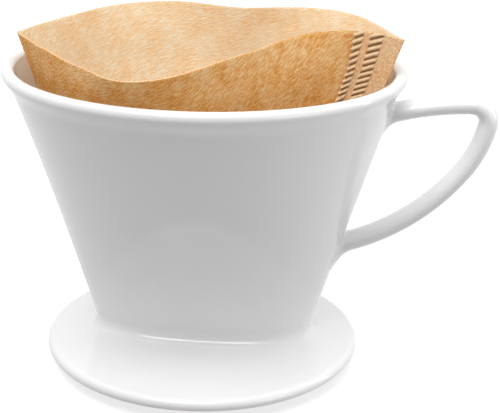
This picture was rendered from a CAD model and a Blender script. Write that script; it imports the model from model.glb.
from math import cos, pi, radians, sin

import bmesh
import bpy
import numpy as np
from mathutils import Matrix, Vector


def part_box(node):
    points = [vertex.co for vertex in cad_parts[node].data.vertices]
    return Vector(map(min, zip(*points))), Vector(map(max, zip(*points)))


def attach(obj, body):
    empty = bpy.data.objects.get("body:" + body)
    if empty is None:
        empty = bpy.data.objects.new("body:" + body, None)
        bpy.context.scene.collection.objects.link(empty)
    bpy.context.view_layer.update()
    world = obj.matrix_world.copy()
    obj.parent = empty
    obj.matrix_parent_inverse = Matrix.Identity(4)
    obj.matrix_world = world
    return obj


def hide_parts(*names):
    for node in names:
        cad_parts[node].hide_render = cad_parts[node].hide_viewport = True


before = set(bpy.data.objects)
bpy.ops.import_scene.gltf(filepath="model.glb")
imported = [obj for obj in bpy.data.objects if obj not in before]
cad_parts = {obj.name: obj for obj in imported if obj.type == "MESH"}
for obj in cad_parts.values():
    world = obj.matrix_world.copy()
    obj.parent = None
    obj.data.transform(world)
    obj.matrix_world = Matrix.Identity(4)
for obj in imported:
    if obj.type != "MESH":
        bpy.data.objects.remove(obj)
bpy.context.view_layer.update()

# Lengths are in millimetres. Meshes are scaled to metres when they are made.
MM = 0.001


def box_mm(node):
    """The lowest and the highest corner of a CAD node, in millimetres."""
    low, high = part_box(node)
    return np.array(low) / MM, np.array(high) / MM


# Porcelain sizes that the frame gives
_, BOWL_HIGH = box_mm("cone_bowl")
DISC_LOW, DISC_HIGH = box_mm("foot_disc")
_, RING_HIGH = box_mm("locating_ring")
RIM_RADIUS = BOWL_HIGH[0]
RIM_TOP = BOWL_HIGH[2]
DISC_RADIUS = DISC_HIGH[0]
DISC_BOTTOM = DISC_LOW[2]
RING_RADIUS = RING_HIGH[0]

# Lip: a rolled edge, round down to LIP_END degrees outside, then a hollow onto the wall
LIP_RADIUS = 2.0
LIP_HEIGHT = RIM_TOP - LIP_RADIUS
LIP_END = -28.0
LIP_PULL = 1.9
WALL_PULL = 2.6
SEAT_HEIGHT = LIP_HEIGHT - LIP_RADIUS
FILLET_LANDING = SEAT_HEIGHT - 4.4

# Cone bowl: straight lines from an oblong foot to the round seat under the lip
SEAT_RADIUS = RIM_RADIUS - 1.9
CAVITY_RADIUS = SEAT_RADIUS - 2.7
FOOT_LENGTH = 33.9
FOOT_DEPTH = 8.9
FOOT_ROUNDNESS = 2.7
FLOOR_LENGTH = 31.5
FLOOR_DEPTH = 7.6
FLOOR_TOP = DISC_BOTTOM + 4.0
FLOOR_FILLET = 2.0
RIB_SHARES = (0.09, 0.27, 0.45, 0.63)
RIB_HEIGHT = 1.1
RIB_REACH = 1.5
RIB_LOW = 12.0
RIB_HIGH = 78.0
RIB_FADE_LOW = 2.0
RIB_FADE_HIGH = 4.0
DRIP_RADIUS = 1.8
DRIP_PITCH = 16.0

# Foot disc and locating ring
DISC_TOP = DISC_BOTTOM + 4.0
DISC_EDGE = 2.0
DISC_CROWN = 0.5
FOOT_FILLET = 4.5
RING_WIDTH = 3.5
RING_EDGE = 0.5
RING_BEVEL = 0.15
RING_ROOT = 0.6
RING_CLEAR = 0.8
UNDERSIDE_LENGTH = 25.0
UNDERSIDE_DEPTH = 6.0

# Points round the porcelain and rows of points along its profile
COLUMNS = 480
FLOOR_ROWS = 7
INSIDE_ROWS = 42
LIP_LEAD_ROWS = 4
LIP_ROWS = 26
HOLLOW_ROWS = 12
OUTSIDE_ROWS = 38
FILLET_ROWS = 12
PLATE_ROWS = 28
EDGE_ROWS = 16
OVERHANG_ROWS = 8
UNDERSIDE_ROWS = 5
DRIP_SIDES = 24

# Handle: (radius, turn in degrees) of each arc of its centre line
HANDLE_START = (55.0, 84.8)
HANDLE_ANGLE = 19.7
HANDLE_ARCS = ((91.0, 18.2), (5.5, 102.1), (37.6, 24.2), (70.6, 42.0))
HANDLE_HALF_WIDTH = 4.8
HANDLE_HALF_THICKNESS = 3.05
HANDLE_SIDES = 64
ARC_POINTS = 40
LINE_POINTS = 400
BAR_ROWS = 150
ROOT_ROWS = 14
ROOT_SINK = 0.05
# How far each root spreads over the wall: above, below and beside the bar
TOP_ROOT = (2.0, 4.5, 2.6)
LOW_ROOT = (2.0, 7.0, 3.0)

# Paper filter: straight lines from the bottom seam towards a guide line level with PAPER_TOP
PAPER = 0.35
PAPER_BOTTOM = 9.4
PAPER_TOP = 113.0
FOLD_LEAN = 0.087
LEFT_FOLD = (-27.0, -59.1)
RIGHT_FOLD = (28.5, 61.5)
FRONT_EDGE = ((-47, -31), (-34, -49), (-14, -59), (5, -49), (20, -31), (34, -14), (47, -5))
BACK_EDGE = ((-50, 20), (-36, 43), (-16, 52), (4, 47), (24, 49), (42, 38), (53, 18))
# The free top edges, where the paper springs away from the straight lines of its walls
SPRING_HEIGHT = 92.0
SPRING_PULL = 0.45
LEFT_TIP = (-57.6, -9, 108.5)
RIGHT_TIP = (61.2, -8.4, 110.9)
FRONT_TOP = (
    (-48, -22, 107.8),
    (-37, -36, 107.1),
    (-27, -46.5, 106.5),
    (-14, -57.5, 106.3),
    (-3, -53, 107),
    (8.5, -41, 108.8),
    (20, -25, 110.4),
    (33, -8, 111.7),
    (47, -3.5, 112.1),
)
BACK_TOP = (
    (-53, 8, 108.6),
    (-46, 24, 109),
    (-36, 41.5, 109.4),
    (-18, 50, 109.8),
    (0, 43.5, 109.9),
    (9, 42, 109.9),
    (25, 46.5, 110),
    (37, 43.5, 110.1),
    (48, 31, 110.2),
    (57, 5.5, 110.4),
)
BOTTOM_BULGE = 0.5
WALLS_FLAT = (350.0, 112.0)
WALL_COLUMNS = 224
WALL_ROWS = 110
STRAIGHT_SHARE = 0.75
CURVE_POINTS = 600
FOLD_SOFTENING = 3
RIPPLE_WAVES = 10
RIPPLE_HEIGHT = 0.09
FRONT_SEED = 4
BACK_SEED = 9

# Side seam, folded over on the front wall, and its two columns of slanted crimps
SEAM_WIDTH = 16.2
SEAM_LENGTH = 104.0
SEAM_TAPER = 0.86
SEAM_GAP = 0.1
SEAM_LIFT = 0.5
SEAM_LIFT_REACH = 2.5
SEAM_COLUMNS = 64
SEAM_ROWS = 560
SEAM_SPAN = 32
CRIMP_PITCH = 2.55
CRIMP_SLANT = 0.5
CRIMP_HEIGHT = 0.65
CRIMP_SCALLOP = 0.3
CRIMP_FLANK = 0.45
# Exponents: the larger one is, the narrower the band that it shapes
CREST_BREADTH = 0.7
GROOVE_BREADTH = 2.5
CREST_WEAR = 4
NARROW_CRIMP = (0.2, 3.1)
WIDE_CRIMP = (5.4, 9.8)

# Bottom seam, folded flat under the walls
FLAP_THICKNESS = 0.45
FLAP_WIDTH = 5.0
FLAP_COLUMNS = 200
FLAP_ROWS = 20
FLAP_CRIMP = (0.8, 4.2)
FLAP_PITCH = 2.0
FLAP_SLANT = 0.3
FLAP_HEIGHT = 0.2

# Glaze and bare clay. The clay shows below BARE_BELOW, blended in under GLAZED_ABOVE, in metres.
GLAZE_TONES = ((0.80, 0.80, 0.796, 1), (0.84, 0.84, 0.84, 1))
CLAY_TONE = (0.72, 0.69, 0.64, 1)
BARE_BELOW = 0.0003
GLAZED_ABOVE = 0.0007

# Paper grain: sizes along and across in millimetres, and how much shows over the creases
CROSSING_SHARE = 0.16
FIBRE_SIZE = (1.3, 0.45)
FIBRE_SHARE = 0.3
BLOTCH_SIZE = (11, 8)
# Share of the light that comes through one layer of paper, and through two
SINGLE_GLOW = 0.36
DOUBLED_GLOW = 0.1
# Where the fine grain of the paper turns from its deep tone to its light tone
GRAIN_TURN = (0.42, 0.58)
CRIMP_TURN = (0.36, 0.64)

# Studio tent: (height or depth of the direction, brightness)
TENT_ABOVE = ((-1.0, 0.13), (-0.1, 0.15), (0.25, 0.10), (0.8, 0.25))
TENT_DEPTH = ((-0.95, 0.0), (-0.45, 0.16), (0.1, 0.32), (1.0, 0.36))
TENT_STRENGTH = 1.9
BACKDROP_STRENGTH = 1.1
FLOOR_LEVEL = -0.3
FLOOR_HALF = 3000
# Softboxes: name, place and aim in metres, size in metres, watts
LIGHTS = (
    ("top_softbox", (0.0, 0.0, 1.0), (0, 0, 0.05), (0.7, 0.5), 0.4),
    ("front_softbox", (-0.1, -0.48, 0.97), (0, 0, 0.05), (0.7, 0.5), 6.3),
    ("highlight_strip", (-0.05, -0.75, 0.75), (0, 0, 0.05), (0.5, 0.02), 0.6),
    ("right_softbox", (0.9, -0.6, 0.12), (0.07, 0, 0.06), (0.5, 0.4), 1.0),
    ("right_strip", (0.7, 0.15, 0.35), (0, 0, 0.06), (0.06, 0.6), 0.8),
)

# Camera: yaw, pitch and roll in radians, focal length in millimetres, place in metres
CAMERA_TURN = (-0.092, 0.3431, 0.0249)
CAMERA_LENS = 83.02
CAMERA_PLACE = (0.0476, -0.3530, 0.1790)


# ---------------------------------------------------------------- meshes


def new_object(name, mesh, material):
    """Links a smooth-shaded mesh whose points are in millimetres."""
    mesh.transform(Matrix.Scale(MM, 4))
    mesh.shade_smooth()
    mesh.materials.append(material)
    piece = bpy.data.objects.new(name, mesh)
    bpy.context.scene.collection.objects.link(piece)
    return piece


def grid_faces(rows, columns, closed):
    """Quads of a grid of points numbered row by row."""
    last = columns if closed else columns - 1
    faces = []
    for row in range(rows - 1):
        for column in range(last):
            right = (column + 1) % columns
            low = row * columns
            high = low + columns
            faces.append((low + column, low + right, high + right, high + column))
    return faces


def natural_curve(points, count):
    """Even samples of a smooth curve through the points, as a natural cubic spline."""
    points = np.array(points, float)
    knots = np.r_[0, np.cumsum(np.linalg.norm(np.diff(points, axis=0), axis=1))]
    gaps = np.diff(knots)
    size = len(points)
    system = np.eye(size)
    target = np.zeros_like(points)
    for i in range(1, size - 1):
        system[i, i - 1 : i + 2] = gaps[i - 1], 2 * (gaps[i - 1] + gaps[i]), gaps[i]
        rise = (points[i + 1] - points[i]) / gaps[i] - (points[i] - points[i - 1]) / gaps[i - 1]
        target[i] = 6 * rise
    bend = np.linalg.solve(system, target)
    at = np.linspace(0, knots[-1], count)
    span = np.clip(np.searchsorted(knots, at, side="right") - 1, 0, size - 2)
    gap = gaps[span][:, None]
    after = (at - knots[span])[:, None]
    before = gap - after
    return (
        bend[span] * before**3 / (6 * gap)
        + bend[span + 1] * after**3 / (6 * gap)
        + (points[span] / gap - bend[span] * gap / 6) * before
        + (points[span + 1] / gap - bend[span + 1] * gap / 6) * after
    )


def even_along(points, count):
    """The same line with its points evenly spaced."""
    steps = np.linalg.norm(np.diff(points, axis=0), axis=1)
    length = np.r_[0, np.cumsum(steps)]
    at = np.linspace(0, length[-1], count)
    axes = [np.interp(at, length, points[:, i]) for i in range(points.shape[1])]
    return np.stack(axes, axis=1)


# ---------------------------------------------------------------- porcelain


def oblong(half_length, half_depth):
    """The closed oblong outline of the cone's foot, its points evenly spaced in each quarter."""
    angle = np.linspace(0, pi / 2, 2001)
    power = 2 / FOOT_ROUNDNESS
    along = half_length * np.cos(angle) ** power
    curve = np.stack([along, half_depth * np.sin(angle) ** power], axis=1)
    quarter = even_along(curve, COLUMNS // 4 + 1)
    flip_x = quarter[::-1] * (-1, 1)
    return np.vstack([quarter[:-1], flip_x[:-1], -quarter[:-1], -flip_x[:-1]])


ANGLES = 2 * pi * np.arange(COLUMNS) / COLUMNS
CIRCLE = np.stack([np.cos(ANGLES), np.sin(ANGLES)], axis=1)
OUTER_FOOT = oblong(FOOT_LENGTH, FOOT_DEPTH)
INNER_FOOT = oblong(FLOOR_LENGTH, FLOOR_DEPTH)


def outward(outline):
    """The horizontal unit normals of a closed outline that runs anticlockwise."""
    along = np.roll(outline, -1, axis=0) - np.roll(outline, 1, axis=0)
    normal = np.stack([along[:, 1], -along[:, 0]], axis=1)
    return normal / np.linalg.norm(normal, axis=1)[:, None]


def outer_wall(height):
    """The outline of the cone's outside at one height: straight lines from foot to lip."""
    share = (height - DISC_BOTTOM) / (SEAT_HEIGHT - DISC_BOTTOM)
    return OUTER_FOOT * (1 - share) + CIRCLE * SEAT_RADIUS * share


def inner_wall(height):
    """The outline of the cone's inside at one height."""
    share = (height - FLOOR_TOP) / (SEAT_HEIGHT - FLOOR_TOP)
    return INNER_FOOT * (1 - share) + CIRCLE * CAVITY_RADIUS * share


def ribbed_wall(height):
    """The inside with its drainage ribs on both flat walls, fading out at both ends."""
    outline = inner_wall(height)
    quarter = COLUMNS // 4
    fade = np.clip((height - RIB_LOW) / RIB_FADE_LOW, 0, 1)
    fade = fade * np.clip((RIB_HIGH - height) / RIB_FADE_HIGH, 0, 1)
    rise = np.zeros(COLUMNS)
    for axis in (quarter, 3 * quarter):
        for side in (-1, 1):
            for share in RIB_SHARES:
                middle = outline[round(axis + side * share * quarter) % COLUMNS]
                distance = np.linalg.norm(outline - middle, axis=1)
                bump = RIB_HEIGHT * (0.5 + 0.5 * np.cos(pi * distance / RIB_REACH))
                rise = np.maximum(rise, np.where(distance < RIB_REACH, bump, 0))
    return outline - outward(outline) * (rise * fade)[:, None]


def level(outline, height):
    """An outline as a row of points at one height."""
    return np.column_stack([outline, np.full(len(outline), height)])


def profile_arc(centre_radius, centre_height, radius, start, end, steps):
    """Rows that turn round a circular tube, angles in degrees above the horizontal outwards."""
    rows = []
    for angle in np.radians(np.linspace(start, end, steps)):
        height = centre_height + radius * sin(angle)
        rows.append(level(CIRCLE * (centre_radius + radius * cos(angle)), height))
    return rows


def blend_rows(first, last, steps):
    """Rows between two rows, without either of them."""
    shares = np.linspace(0, 1, steps + 2)[1:-1]
    return [first * (1 - share) + last * share for share in shares]


def lip_fillet(lip_row):
    """Rows of the hollow that leads from under the rolled lip onto the cone's wall."""
    turn = radians(LIP_END)
    leaving = np.column_stack([CIRCLE * sin(turn), np.full(COLUMNS, -cos(turn))])
    landing = level(outer_wall(FILLET_LANDING), FILLET_LANDING)
    below = level(outer_wall(FILLET_LANDING - 1), FILLET_LANDING - 1)
    along = (below - landing) / np.linalg.norm(below - landing, axis=1)[:, None]
    second = lip_row + leaving * LIP_PULL
    third = landing - along * WALL_PULL
    rows = []
    for t in np.linspace(0, 1, HOLLOW_ROWS)[1:-1]:
        near = lip_row * (1 - t) ** 3 + 3 * second * t * (1 - t) ** 2
        rows.append(near + 3 * third * t**2 * (1 - t) + landing * t**3)
    return rows


def shell_rows():
    """The porcelain's skin as rows from the drip floor, over the lip, down to the ring's inside."""
    rows = []
    for angle in np.linspace(0, pi / 2, FLOOR_ROWS):
        height = FLOOR_TOP + FLOOR_FILLET * (1 - cos(angle))
        outline = inner_wall(height)
        rows.append(level(outline - outward(outline) * FLOOR_FILLET * (1 - sin(angle)), height))
    for height in np.linspace(FLOOR_TOP + FLOOR_FILLET, SEAT_HEIGHT, INSIDE_ROWS)[1:]:
        rows.append(level(ribbed_wall(height), height))
    lip_middle = RIM_RADIUS - LIP_RADIUS
    lip = profile_arc(lip_middle, LIP_HEIGHT, LIP_RADIUS, 180, LIP_END, LIP_ROWS)
    rows += blend_rows(rows[-1], lip[0], LIP_LEAD_ROWS) + lip
    rows += lip_fillet(lip[-1])
    foot_level = DISC_TOP + DISC_CROWN
    for height in np.linspace(FILLET_LANDING, foot_level + FOOT_FILLET, OUTSIDE_ROWS):
        rows.append(level(outer_wall(height), height))
    for angle in np.linspace(pi / 2, 0, FILLET_ROWS)[1:]:
        height = foot_level + FOOT_FILLET * (1 - cos(angle))
        outline = outer_wall(height)
        rows.append(level(outline + outward(outline) * FOOT_FILLET * (1 - sin(angle)), height))
    skirt = rows[-1]
    edge_middle = DISC_RADIUS - DISC_EDGE
    edge = profile_arc(edge_middle, DISC_TOP - DISC_EDGE, DISC_EDGE, 90, -90, EDGE_ROWS)
    for share in np.linspace(0, 1, PLATE_ROWS)[1:-1]:
        row = skirt * (1 - share) + edge[0] * share
        row[:, 2] = DISC_TOP + DISC_CROWN * (1 - share) ** 2
        rows.append(row)
    rows += edge
    ring_inner = RING_RADIUS - RING_WIDTH
    beside_ring = level(CIRCLE * (RING_RADIUS + RING_CLEAR), DISC_BOTTOM)
    rows += blend_rows(rows[-1], beside_ring, OVERHANG_ROWS)
    ring_profile = (
        (RING_RADIUS + RING_ROOT, DISC_BOTTOM),
        (RING_RADIUS + RING_BEVEL, DISC_BOTTOM - RING_BEVEL),
        (RING_RADIUS, DISC_BOTTOM - RING_ROOT),
        (RING_RADIUS, RING_EDGE),
        (RING_RADIUS - RING_BEVEL, RING_BEVEL),
        (RING_RADIUS - RING_EDGE, 0),
        (ring_inner + RING_EDGE, 0),
        (ring_inner + RING_BEVEL, RING_BEVEL),
        (ring_inner, RING_EDGE),
        (ring_inner, DISC_BOTTOM - RING_ROOT),
        (ring_inner - RING_BEVEL, DISC_BOTTOM - RING_BEVEL),
        (ring_inner - RING_ROOT, DISC_BOTTOM),
    )
    rows += [level(CIRCLE * radius, height) for radius, height in ring_profile]
    underside = level(oblong(UNDERSIDE_LENGTH, UNDERSIDE_DEPTH), DISC_BOTTOM)
    rows += blend_rows(rows[-1], underside, UNDERSIDE_ROWS)
    rows.append(underside)
    return np.array(rows)


def hole_ring(mesh, middle, height):
    """A ring of vertices round one drip hole at one height."""
    ring = []
    for turn in 2 * pi * np.arange(DRIP_SIDES) / DRIP_SIDES:
        place = (middle + DRIP_RADIUS * cos(turn), DRIP_RADIUS * sin(turn), height)
        ring.append(mesh.verts.new(place))
    return ring


def join_loop(mesh, vertices):
    """The edges of a closed loop, made where they are missing."""
    edges = []
    for i, vertex in enumerate(vertices):
        following = vertices[(i + 1) % len(vertices)]
        edge = mesh.edges.get((vertex, following))
        edges.append(edge or mesh.edges.new((vertex, following)))
    return edges


def make_porcelain_shell(material):
    """Cone bowl, foot disc and locating ring as the one glazed skin that they are once fired."""
    rows = shell_rows()
    mesh = bpy.data.meshes.new("porcelain_shell")
    mesh.from_pydata(rows.reshape(-1, 3).tolist(), [], grid_faces(len(rows), COLUMNS, True))
    work = bmesh.new()
    work.from_mesh(mesh)
    work.verts.ensure_lookup_table()
    count = len(work.verts)
    inside = [work.verts[i] for i in range(COLUMNS)]
    underside = [work.verts[i] for i in range(count - COLUMNS, count)]
    upper_edges = join_loop(work, inside)
    lower_edges = join_loop(work, underside)
    for i in (-1, 0, 1):
        upper = hole_ring(work, i * DRIP_PITCH, FLOOR_TOP)
        lower = hole_ring(work, i * DRIP_PITCH, DISC_BOTTOM)
        upper_edges += join_loop(work, upper)
        lower_edges += join_loop(work, lower)
        for k in range(DRIP_SIDES):
            following = (k + 1) % DRIP_SIDES
            work.faces.new((upper[k], upper[following], lower[following], lower[k]))
    bmesh.ops.triangle_fill(work, use_beauty=True, use_dissolve=False, edges=upper_edges)
    bmesh.ops.triangle_fill(work, use_beauty=True, use_dissolve=False, edges=lower_edges)
    bmesh.ops.recalc_face_normals(work, faces=work.faces)
    work.to_mesh(mesh)
    work.free()
    return new_object("porcelain_shell", mesh, material)


def handle_line():
    """The handle's centre line in the XZ plane, evenly spaced, from the rim's end down."""
    place = np.array(HANDLE_START)
    heading = radians(HANDLE_ANGLE)
    points = [place]
    for radius, turn in HANDLE_ARCS:
        turn = radians(turn)
        centre = place + radius * np.array((sin(heading), -cos(heading)))
        for share in np.linspace(0, 1, ARC_POINTS)[1:]:
            now = heading - turn * share
            points.append(centre + radius * np.array((-sin(now), cos(now))))
        place = points[-1]
        heading -= turn
    return even_along(np.array(points), LINE_POINTS)


def wall_depth(point):
    """How far a point stands outside the cone's wall, measured square to the cone's axis."""
    outline = outer_wall(point[2])
    angle = np.arctan2(outline[:, 1], outline[:, 0])
    order = np.argsort(angle)
    radius = np.interp(
        np.arctan2(point[1], point[0]), angle[order], np.linalg.norm(outline, axis=1)[order]
    )
    return np.hypot(point[0], point[1]) - radius


def bar_offset(normal, angle):
    """From the handle's centre line to its oval skin, at one angle round the bar."""
    across = HANDLE_HALF_THICKNESS * sin(angle)
    return np.array((normal[0] * across, HANDLE_HALF_WIDTH * cos(angle), normal[1] * across))


def root_spread(spread, angle):
    """The fillet's size on one side of the bar: blended between above, beside and below."""
    above, below, beside = spread
    up = sin(angle)
    return beside + (above - beside) * max(up, 0) ** 2 + (below - beside) * max(-up, 0) ** 2


def root_rows(line, normals, from_start, spread):
    """Rows of one flared root: they leave the bar along it and land flat on the cone's wall."""
    order = range(len(line)) if from_start else range(len(line) - 1, -1, -1)
    columns = []
    for side in range(HANDLE_SIDES):
        angle = 2 * pi * side / HANDLE_SIDES
        offset = [bar_offset(normals[i], angle) for i in order]
        track = [np.array((line[i][0], 0, line[i][1])) + offset[k] for k, i in enumerate(order)]
        start = next(k for k, point in enumerate(track) if wall_depth(point) > 0)
        corner = track[start]
        up = normals[order[start]][1] * sin(angle)
        size = root_spread(spread, np.arcsin(np.clip(up, -1, 1)))
        step = np.linalg.norm(track[start + 1] - track[start])
        leave = track[start + int(size / step)]
        landing = corner + offset[start] / np.linalg.norm(offset[start]) * size
        column = []
        for share in np.linspace(0, 1, ROOT_ROWS):
            point = leave * (1 - share) ** 2 + 2 * share * (1 - share) * corner + landing * share**2
            depth = wall_depth(point)
            goal = wall_depth(leave) * (1 - share) ** 2 - ROOT_SINK * share
            radial = np.array((point[0], point[1], 0)) / np.hypot(point[0], point[1])
            column.append(point + radial * (goal - depth) * share)
        columns.append((start + int(size / step), column))
    return columns


def make_handle(material):
    """The bent oval bar with its two flared roots, as one closed skin."""
    line = handle_line()
    tangents = np.gradient(line, axis=0)
    tangents /= np.linalg.norm(tangents, axis=1)[:, None]
    normals = np.stack([-tangents[:, 1], tangents[:, 0]], axis=1)
    top = root_rows(line, normals, True, TOP_ROOT)
    low = root_rows(line, normals, False, LOW_ROOT)
    grid = []
    for side in range(HANDLE_SIDES):
        angle = 2 * pi * side / HANDLE_SIDES
        first = top[side][0]
        last = len(line) - 1 - low[side][0]
        bar = []
        for at in np.linspace(first, last, BAR_ROWS)[1:-1]:
            i = int(at)
            part = at - i
            centre = line[i] * (1 - part) + line[i + 1] * part
            normal = normals[i] * (1 - part) + normals[i + 1] * part
            bar.append(np.array((centre[0], 0, centre[1])) + bar_offset(normal, angle))
        grid.append(top[side][1][::-1] + bar + low[side][1])
    points = np.array(grid).transpose(1, 0, 2)
    mesh = bpy.data.meshes.new("handle_bar")
    faces = grid_faces(len(points), HANDLE_SIDES, True)
    mesh.from_pydata(points.reshape(-1, 3).tolist(), [], faces)
    return new_object("handle_bar", mesh, material)


# ---------------------------------------------------------------- paper


def paper_sheet(edge, top_points, side, columns, rows):
    """One wall of the filter: straight up to the rim, then curving to its free top edge."""
    fold_y = -FOLD_LEAN * (PAPER_TOP - PAPER_BOTTOM)
    guide_points = [(LEFT_FOLD[1], fold_y), *edge, (RIGHT_FOLD[1], fold_y)]
    guide = level(even_along(natural_curve(guide_points, CURVE_POINTS), columns), PAPER_TOP)
    top_line = natural_curve([LEFT_TIP, *top_points, RIGHT_TIP], CURVE_POINTS)
    top = even_along(top_line, columns)
    share = np.linspace(0, 1, columns)
    bottom_x = LEFT_FOLD[0] + (RIGHT_FOLD[0] - LEFT_FOLD[0]) * share
    bottom_y = side * BOTTOM_BULGE * np.sin(pi * share)
    bottom = level(np.column_stack([bottom_x, bottom_y]), PAPER_BOTTOM)
    reach = (SPRING_HEIGHT - PAPER_BOTTOM) / (PAPER_TOP - PAPER_BOTTOM)
    spring = bottom + (guide - bottom) * reach
    rise = np.linalg.norm(top - spring, axis=1)[:, None]
    heading = (spring - bottom) / np.linalg.norm(spring - bottom, axis=1)[:, None]
    control = spring + heading * rise * SPRING_PULL
    straight_rows = int(rows * STRAIGHT_SHARE)
    grid = []
    for t in np.linspace(0, 1, straight_rows, endpoint=False):
        grid.append(bottom + (spring - bottom) * t)
    for t in np.linspace(0, 1, rows - straight_rows):
        grid.append(spring * (1 - t) ** 2 + 2 * control * t * (1 - t) + top * t**2)
    return np.array(grid)


def sheet_normals(grid, closed):
    """Unit normals of a grid of points."""
    if closed:
        across = np.roll(grid, -1, axis=1) - np.roll(grid, 1, axis=1)
    else:
        across = np.gradient(grid, axis=1)
    up = np.gradient(grid, axis=0)
    normal = np.cross(across, up)
    return normal / np.maximum(np.linalg.norm(normal, axis=2), 1e-9)[:, :, None]


def paper_object(name, inner, outer, closed, materials, size):
    """A sheet with an inside, an outside and cut edges. Its UV map is in millimetres of paper."""
    rows, columns, _ = inner.shape
    count = rows * columns
    points = np.vstack([outer.reshape(-1, 3), inner.reshape(-1, 3)])
    outside = grid_faces(rows, columns, closed)
    inside = [tuple(count + i for i in reversed(face)) for face in outside]
    rims = []
    last = columns if closed else columns - 1
    for row in (0, rows - 1):
        for column in range(last):
            a = row * columns + column
            b = row * columns + (column + 1) % columns
            rims.append((a, b, count + b, count + a) if row else (b, a, count + a, count + b))
    if not closed:
        for row in range(rows - 1):
            a = row * columns
            b = a + columns
            rims.append((a, b, count + b, count + a))
            a += columns - 1
            b += columns - 1
            rims.append((b, a, count + a, count + b))
    mesh = bpy.data.meshes.new(name)
    mesh.from_pydata(points.tolist(), [], outside + inside + rims)
    uv = mesh.uv_layers.new(name="paper")
    where = np.zeros((2 * count, 2))
    for layer in (0, 1):
        across, up = np.meshgrid(np.linspace(0, size[0], columns), np.linspace(0, size[1], rows))
        where[layer * count : (layer + 1) * count] = np.column_stack([across.ravel(), up.ravel()])
    corners = np.zeros(len(mesh.loops), dtype=int)
    mesh.loops.foreach_get("vertex_index", corners)
    uv.data.foreach_set("uv", where[corners].ravel())
    piece = new_object(name, mesh, materials[0])
    mesh.materials.append(materials[1])
    mesh.materials.append(materials[2])
    kinds = np.full(len(mesh.polygons), 2)
    kinds[: len(outside)] = 0
    kinds[len(outside) : len(outside) + len(inside)] = 1
    mesh.polygons.foreach_set("material_index", kinds)
    return piece


def ripple(grid, normals, seed):
    """Small uneven waves of handled paper, none at the folds or the bottom."""
    rng = np.random.default_rng(seed)
    rows, columns, _ = grid.shape
    across = np.linspace(0, 1, columns)[None, :]
    up = np.linspace(0, 1, rows)[:, None]
    wave = np.zeros((rows, columns))
    for _ in range(RIPPLE_WAVES):
        pace_x = rng.uniform(2, 9)
        pace_y = rng.uniform(0.3, 2.2)
        start = rng.uniform(0, 2 * pi)
        wave += rng.uniform(0.4, 1.0) * np.sin(2 * pi * (pace_x * across + pace_y * up) + start)
    hold = np.sin(pi * across) ** 0.5 * np.clip(up * 3, 0, 1)
    return grid + normals * (wave * hold * RIPPLE_HEIGHT)[:, :, None]


def make_filter(outer_material, inner_material, flap_material):
    """The folded sheet, its crimped side seam on the front wall, and the flattened bottom seam."""
    front = paper_sheet(FRONT_EDGE, FRONT_TOP, -1, WALL_COLUMNS, WALL_ROWS)
    back = paper_sheet(BACK_EDGE, BACK_TOP, 1, WALL_COLUMNS, WALL_ROWS)
    front_normals = sheet_normals(front, False)
    back_normals = -sheet_normals(back, False)
    front = ripple(front, front_normals, FRONT_SEED)
    back = ripple(back, back_normals, BACK_SEED)
    loop = np.concatenate([front, back[:, ::-1][:, 1:-1]], axis=1)
    for _ in range(FOLD_SOFTENING):
        middle = (np.roll(loop, 1, axis=1) + np.roll(loop, -1, axis=1)) / 2
        loop = loop * 0.5 + middle * 0.5
    normals = sheet_normals(loop, True)
    materials = (outer_material, inner_material, flap_material)
    outside = loop + normals * PAPER
    walls = paper_object("filter_walls", loop, outside, True, materials, WALLS_FLAT)
    seam = make_side_seam(front, front_normals, flap_material, inner_material)
    bottom = make_bottom_seam(flap_material, inner_material)
    return walls, seam, bottom


def ridge_profile(across, up):
    """Crests and grooves of the crimping, 0 to 1: two columns of slanted bars."""
    wave = 0.5 + 0.5 * np.sin(2 * pi * (up - CRIMP_SLANT * across) / CRIMP_PITCH)
    bars = wave**CREST_BREADTH
    columns = np.maximum(smooth_band(across, *NARROW_CRIMP), smooth_band(across, *WIDE_CRIMP))
    return bars * columns, (1 - wave) ** GROOVE_BREADTH * columns


def smooth_band(value, low, high):
    """One between two limits and zero outside, with soft flanks."""
    rising = np.clip((value - low) / CRIMP_FLANK + 0.5, 0, 1)
    return rising * np.clip((high - value) / CRIMP_FLANK + 0.5, 0, 1)


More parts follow.
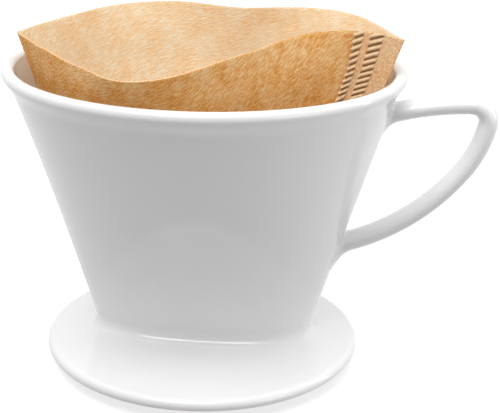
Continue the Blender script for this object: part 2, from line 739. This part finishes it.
def make_side_seam(front, normals, outer_material, inner_material):
    """The doubled, crimped edge of the sheet, folded flat on the front wall from the right fold."""
    columns = SEAM_COLUMNS
    rows = SEAM_ROWS
    strip = front[:, -SEAM_SPAN:]
    strip_normals = normals[:, -SEAM_SPAN:]
    grid = np.zeros((rows, columns, 3))
    outward_normals = np.zeros((rows, columns, 3))
    at_rows = np.linspace(0, strip.shape[0] - 1, rows)
    shares = np.linspace(1, 0, columns)
    for row in range(rows):
        i = min(int(at_rows[row]), strip.shape[0] - 2)
        part = at_rows[row] - i
        line = strip[i] * (1 - part) + strip[i + 1] * part
        line_normals = strip_normals[i] * (1 - part) + strip_normals[i + 1] * part
        steps = np.linalg.norm(np.diff(line, axis=0), axis=1)
        reach = np.r_[0, np.cumsum(steps[::-1])][::-1]
        scallop = CRIMP_SCALLOP * sin(2 * pi * SEAM_LENGTH * row / (rows - 1) / CRIMP_PITCH)
        narrowing = max(SEAM_TAPER, row / (rows - 1))
        wanted = (SEAM_WIDTH * narrowing + scallop * shares**12) * shares
        for axis in range(3):
            grid[row, :, axis] = np.interp(-wanted, -reach, line[:, axis])
            outward_normals[row, :, axis] = np.interp(-wanted, -reach, line_normals[:, axis])
    across = np.linspace(0, SEAM_WIDTH, columns)[None, :]
    up = np.linspace(0, SEAM_LENGTH, rows)[:, None]
    crest, groove = ridge_profile(across, up)
    sprung = SEAM_LIFT * np.exp(-across / SEAM_LIFT_REACH) * np.ones((rows, 1))
    lift = PAPER + SEAM_GAP + sprung
    inner = grid + outward_normals * lift[:, :, None]
    outer = inner + outward_normals * (PAPER + crest * CRIMP_HEIGHT)[:, :, None]
    materials = (outer_material, inner_material, outer_material)
    flat = (SEAM_WIDTH, SEAM_LENGTH)
    flap = paper_object("filter_seam_flap", inner, outer, False, materials, flat)
    pressed = flap.data.attributes.new("pressed", "FLOAT", "POINT")
    pressed.data.foreach_set("value", np.r_[groove.ravel(), np.zeros(groove.size)])
    raised = flap.data.attributes.new("raised", "FLOAT", "POINT")
    raised.data.foreach_set("value", np.r_[crest.ravel() ** CREST_WEAR, np.zeros(crest.size)])
    return flap


def make_bottom_seam(outer_material, inner_material):
    """The crimped bottom edge, folded flat under the walls."""
    low, high = box_mm("filter_bottom_seam")
    along = np.linspace(low[0], high[0], FLAP_COLUMNS)
    x, y = np.meshgrid(along, np.linspace(low[1], high[1], FLAP_ROWS))
    wave = 0.5 + 0.5 * np.sin(2 * pi * (x + FLAP_SLANT * y) / FLAP_PITCH)
    bars = smooth_band(y - low[1], *FLAP_CRIMP) * wave * FLAP_HEIGHT
    lower = np.stack([x, y, np.full_like(x, low[2])], axis=2)
    upper = np.stack([x, y, np.full_like(x, low[2] + FLAP_THICKNESS) + bars], axis=2)
    materials = (outer_material, inner_material, outer_material)
    flat = (high[0] - low[0], FLAP_WIDTH)
    return paper_object("filter_bottom_flap", lower, upper, False, materials, flat)


# ---------------------------------------------------------------- materials


def start_material(name):
    """A node material: itself, its nodes, its links and its principled shader."""
    material = bpy.data.materials.new(name)
    material.use_nodes = True
    nodes = material.node_tree.nodes
    return material, nodes, material.node_tree.links, nodes["Principled BSDF"]


def porcelain_material():
    """White glaze: glossy, faintly uneven like fired glass, and bare clay where the ring stands."""
    material, nodes, links, shader = start_material("glazed_porcelain")
    place = nodes.new("ShaderNodeTexCoord")
    shader.inputs["IOR"].default_value = 1.52
    shader.inputs["Coat Weight"].default_value = 0.35
    shader.inputs["Coat Roughness"].default_value = 0.03

    cloud = nodes.new("ShaderNodeTexNoise")
    cloud.inputs["Scale"].default_value = 28
    cloud.inputs["Detail"].default_value = 3
    links.new(place.outputs["Object"], cloud.inputs["Vector"])
    tint = nodes.new("ShaderNodeValToRGB")
    for element, tone in zip(tint.color_ramp.elements, GLAZE_TONES):
        element.color = tone
    links.new(cloud.outputs["Fac"], tint.inputs["Fac"])

    split = nodes.new("ShaderNodeSeparateXYZ")
    links.new(place.outputs["Object"], split.inputs["Vector"])
    bare = nodes.new("ShaderNodeMapRange")
    bare.inputs["From Min"].default_value = GLAZED_ABOVE
    bare.inputs["From Max"].default_value = BARE_BELOW
    links.new(split.outputs["Z"], bare.inputs["Value"])
    clay = nodes.new("ShaderNodeMix")
    clay.data_type = "RGBA"
    clay.inputs["B"].default_value = CLAY_TONE
    links.new(bare.outputs["Result"], clay.inputs["Factor"])
    links.new(tint.outputs["Color"], clay.inputs["A"])
    links.new(clay.outputs["Result"], shader.inputs["Base Color"])

    speck = nodes.new("ShaderNodeTexNoise")
    speck.inputs["Scale"].default_value = 90
    links.new(place.outputs["Object"], speck.inputs["Vector"])
    rough = nodes.new("ShaderNodeMapRange")
    rough.inputs["To Min"].default_value = 0.10
    rough.inputs["To Max"].default_value = 0.17
    links.new(speck.outputs["Fac"], rough.inputs["Value"])
    rough_all = nodes.new("ShaderNodeMath")
    rough_all.operation = "MAXIMUM"
    links.new(rough.outputs["Result"], rough_all.inputs[0])
    links.new(bare.outputs["Result"], rough_all.inputs[1])
    links.new(rough_all.outputs["Value"], shader.inputs["Roughness"])

    wave = nodes.new("ShaderNodeTexNoise")
    wave.inputs["Scale"].default_value = 60
    wave.inputs["Detail"].default_value = 1
    links.new(place.outputs["Object"], wave.inputs["Vector"])
    bump = nodes.new("ShaderNodeBump")
    bump.inputs["Strength"].default_value = 0.05
    bump.inputs["Distance"].default_value = 0.001
    links.new(wave.outputs["Fac"], bump.inputs["Height"])
    links.new(bump.outputs["Normal"], shader.inputs["Normal"])
    return material


def colour_ramp(nodes, links, source, low, high, first, last):
    """A ramp between two colours, each reached at its own value of the source."""
    ramp = nodes.new("ShaderNodeValToRGB")
    ramp.color_ramp.elements[0].position = first
    ramp.color_ramp.elements[1].position = last
    ramp.color_ramp.elements[0].color = (*low, 1)
    ramp.color_ramp.elements[1].color = (*high, 1)
    links.new(source, ramp.inputs["Fac"])
    return ramp.outputs["Color"]


def paper_material(name, light_tones, deep_tones, turn, crease, crimped=False):
    """Unbleached crepe paper: slanted wrinkles over fibres, mottled between two pairs of tones.

    The wrinkles lie turn degrees from the bottom seam, and crease is their length and width in mm.
    """
    material, nodes, links, shader = start_material(name)
    shader.inputs["Roughness"].default_value = 0.85
    shader.inputs["Specular IOR Level"].default_value = 0.2
    place = nodes.new("ShaderNodeUVMap")
    place.uv_map = "paper"

    def noise(angle, size, detail):
        """Noise stretched to a length and a width in millimetres, turned by an angle."""
        turned = nodes.new("ShaderNodeMapping")
        turned.vector_type = "TEXTURE"
        turned.inputs["Rotation"].default_value = (0, 0, radians(angle))
        turned.inputs["Scale"].default_value = (size[0], size[1], 1)
        links.new(place.outputs["UV"], turned.inputs["Vector"])
        texture = nodes.new("ShaderNodeTexNoise")
        texture.inputs["Scale"].default_value = 1
        texture.inputs["Detail"].default_value = detail
        links.new(turned.outputs["Vector"], texture.inputs["Vector"])
        return texture.outputs["Fac"]

    def combine(first, second, share):
        """One value faded towards another by a fixed share."""
        mix = nodes.new("ShaderNodeMix")
        mix.inputs["Factor"].default_value = share
        links.new(first, mix.inputs["A"])
        links.new(second, mix.inputs["B"])
        return mix.outputs["Result"]

    def mixed(first, second, source):
        """One colour faded towards another by a value."""
        mix = nodes.new("ShaderNodeMix")
        mix.data_type = "RGBA"
        links.new(source, mix.inputs["Factor"])
        links.new(first, mix.inputs["A"])
        links.new(second, mix.inputs["B"])
        return mix.outputs["Result"]

    creases = noise(turn, crease, 2)
    crossing = noise(turn - 65, (crease[0] * 0.7, crease[1] * 1.3), 2)
    relief = combine(creases, crossing, CROSSING_SHARE)
    fibres = noise(turn + 40, FIBRE_SIZE, 3)
    grain = combine(relief, fibres, FIBRE_SHARE)
    blotches = noise(80, BLOTCH_SIZE, 5)
    patches = nodes.new("ShaderNodeMapRange")
    patches.inputs["From Min"].default_value = 0.4
    patches.inputs["From Max"].default_value = 0.6
    links.new(blotches, patches.inputs["Value"])
    first_tone = colour_ramp(nodes, links, grain, deep_tones[0], light_tones[0], *GRAIN_TURN)
    second_tone = colour_ramp(nodes, links, grain, deep_tones[1], light_tones[1], *GRAIN_TURN)
    colour = mixed(first_tone, second_tone, patches.outputs["Result"])
    if crimped:
        groove = nodes.new("ShaderNodeAttribute")
        groove.attribute_name = "pressed"
        dark = colour_ramp(nodes, links, grain, deep_tones[2], light_tones[2], *CRIMP_TURN)
        colour = mixed(colour, dark, groove.outputs["Fac"])
        crest = nodes.new("ShaderNodeAttribute")
        crest.attribute_name = "raised"
        worn = colour_ramp(nodes, links, grain, deep_tones[3], light_tones[3], *CRIMP_TURN)
        colour = mixed(colour, worn, crest.outputs["Fac"])
    links.new(colour, shader.inputs["Base Color"])
    bump = nodes.new("ShaderNodeBump")
    bump.inputs["Strength"].default_value = 1.0
    bump.inputs["Distance"].default_value = 0.0006
    links.new(grain, bump.inputs["Height"])
    links.new(bump.outputs["Normal"], shader.inputs["Normal"])

    glow = nodes.new("ShaderNodeBsdfTranslucent")
    links.new(colour, glow.inputs["Color"])
    links.new(bump.outputs["Normal"], glow.inputs["Normal"])
    blend = nodes.new("ShaderNodeMixShader")
    blend.inputs["Fac"].default_value = DOUBLED_GLOW if crimped else SINGLE_GLOW
    links.new(shader.outputs["BSDF"], blend.inputs[1])
    links.new(glow.outputs["BSDF"], blend.inputs[2])
    links.new(blend.outputs["Shader"], nodes["Material Output"].inputs["Surface"])
    return material


def floor_material():
    """A plain white studio sweep with a trace of texture."""
    material, nodes, links, shader = start_material("studio_floor")
    shader.inputs["Roughness"].default_value = 0.6
    shader.inputs["Emission Color"].default_value = (1, 1, 1, 1)
    shader.inputs["Emission Strength"].default_value = 0.5
    place = nodes.new("ShaderNodeTexCoord")
    grain = nodes.new("ShaderNodeTexNoise")
    grain.inputs["Scale"].default_value = 40
    links.new(place.outputs["Object"], grain.inputs["Vector"])
    colour = colour_ramp(nodes, links, grain.outputs["Fac"], (0.55,) * 3, (0.57,) * 3, 0.3, 0.7)
    links.new(colour, shader.inputs["Base Color"])
    return material


# ---------------------------------------------------------------- studio


def make_floor():
    """A wide pale plane just under the ring. The tent's lower half stands in for its bounce."""
    mesh = bpy.data.meshes.new("studio_floor")
    half = FLOOR_HALF
    corners = [(-half, -half), (half, -half), (half, half), (-half, half)]
    mesh.from_pydata([(x, y, FLOOR_LEVEL) for x, y in corners], [], [(0, 1, 2, 3)])
    floor = new_object("studio_floor", mesh, floor_material())
    floor.visible_diffuse = False
    floor.visible_glossy = False
    floor.visible_transmission = False


def world_ramp(nodes, links, source, stops):
    """A grey ramp over one component of the direction, from -1 to 1."""
    span = nodes.new("ShaderNodeMapRange")
    span.inputs["From Min"].default_value = -1
    links.new(source, span.inputs["Value"])
    ramp = nodes.new("ShaderNodeValToRGB")
    ramp.color_ramp.interpolation = "EASE"
    while len(ramp.color_ramp.elements) < len(stops):
        ramp.color_ramp.elements.new(0.5)
    for element, (value, grey) in zip(ramp.color_ramp.elements, stops):
        element.position = (value + 1) / 2
        element.color = (grey, grey, grey, 1)
    links.new(span.outputs["Result"], ramp.inputs["Fac"])
    return ramp.outputs["Color"]


def make_world():
    """A studio tent: dim in front of the object, brighter above and behind, white as a backdrop."""
    world = bpy.data.worlds.new("studio")
    bpy.context.scene.world = world
    world.use_nodes = True
    nodes = world.node_tree.nodes
    links = world.node_tree.links
    place = nodes.new("ShaderNodeTexCoord")
    split = nodes.new("ShaderNodeSeparateXYZ")
    links.new(place.outputs["Generated"], split.inputs["Vector"])
    above = world_ramp(nodes, links, split.outputs["Z"], TENT_ABOVE)
    depth = world_ramp(nodes, links, split.outputs["Y"], TENT_DEPTH)
    add = nodes.new("ShaderNodeMix")
    add.data_type = "RGBA"
    add.blend_type = "ADD"
    add.inputs["Factor"].default_value = 1
    links.new(above, add.inputs["A"])
    links.new(depth, add.inputs["B"])
    background = nodes["Background"]
    background.inputs["Strength"].default_value = TENT_STRENGTH
    links.new(add.outputs["Result"], background.inputs["Color"])
    white = nodes.new("ShaderNodeBackground")
    white.inputs["Color"].default_value = (1, 1, 1, 1)
    white.inputs["Strength"].default_value = BACKDROP_STRENGTH
    path = nodes.new("ShaderNodeLightPath")
    choose = nodes.new("ShaderNodeMixShader")
    links.new(path.outputs["Is Camera Ray"], choose.inputs["Fac"])
    links.new(background.outputs["Background"], choose.inputs[1])
    links.new(white.outputs["Background"], choose.inputs[2])
    links.new(choose.outputs["Shader"], nodes["World Output"].inputs["Surface"])


def add_light(name, place, aim, size, watts):
    """A rectangular softbox at one place, pointed at another."""
    light = bpy.data.lights.new(name, "AREA")
    light.shape = "RECTANGLE"
    light.size, light.size_y = size
    light.energy = watts
    lamp = bpy.data.objects.new(name, light)
    lamp.location = place
    lamp.rotation_euler = (Vector(aim) - Vector(place)).to_track_quat("-Z", "Y").to_euler()
    bpy.context.scene.collection.objects.link(lamp)


def make_camera():
    """The photograph's viewpoint: a little right of the front, looking down twenty degrees."""
    yaw, pitch, roll = CAMERA_TURN
    forward = Vector((sin(yaw) * cos(pitch), cos(yaw) * cos(pitch), -sin(pitch)))
    level_right = Vector((cos(yaw), -sin(yaw), 0))
    level_up = level_right.cross(forward)
    right = level_right * cos(roll) + level_up * sin(roll)
    up = level_up * cos(roll) - level_right * sin(roll)
    data = bpy.data.cameras.new("camera")
    data.lens = CAMERA_LENS
    data.clip_start = 0.01
    camera = bpy.data.objects.new("camera", data)
    place = Matrix((right, up, -forward)).transposed().to_4x4()
    place.translation = Vector(CAMERA_PLACE)
    camera.matrix_world = place
    bpy.context.scene.collection.objects.link(camera)
    bpy.context.scene.camera = camera


def main():
    """Makes every piece, says what it replaces and rides on, and sets the studio."""
    glaze = porcelain_material()
    outer_paper = paper_material(
        "filter_paper_outside",
        light_tones=((1.0, 0.83, 0.49), (1.0, 0.71, 0.32)),
        deep_tones=((0.84, 0.44, 0.14), (0.73, 0.31, 0.045)),
        turn=38,
        crease=(3.0, 0.5),
    )
    inner_paper = paper_material(
        "filter_paper_inside",
        light_tones=((1.0, 0.95, 0.79), (1.0, 0.89, 0.65)),
        deep_tones=((0.96, 0.76, 0.48), (0.95, 0.68, 0.36)),
        turn=-22,
        crease=(3.4, 0.52),
    )
    # The flap's third and fourth tones are those of its grooves and its crests.
    flap_paper = paper_material(
        "filter_paper_flap",
        light_tones=((1.0, 0.77, 0.50), (1.0, 0.72, 0.43), (0.30, 0.16, 0.07), (1.0, 0.88, 0.64)),
        deep_tones=((0.82, 0.47, 0.22), (0.80, 0.42, 0.18), (0.20, 0.10, 0.04), (0.98, 0.74, 0.46)),
        turn=52,
        crease=(1.4, 0.42),
        crimped=True,
    )
    shell = make_porcelain_shell(glaze)
    handle = make_handle(glaze)
    walls, seam, bottom = make_filter(outer_paper, inner_paper, flap_paper)
    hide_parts("cone_bowl", "foot_disc", "locating_ring")
    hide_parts("handle")
    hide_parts("filter_front_wall", "filter_back_wall")
    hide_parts("filter_side_seam")
    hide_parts("filter_bottom_seam")
    for piece in (shell, handle):
        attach(piece, "dripper")
    for piece in (walls, seam, bottom):
        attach(piece, "paper_filter")
    make_floor()
    make_world()
    for light in LIGHTS:
        add_light(*light)
    make_camera()
    bpy.context.scene.view_settings.view_transform = "Standard"


main()
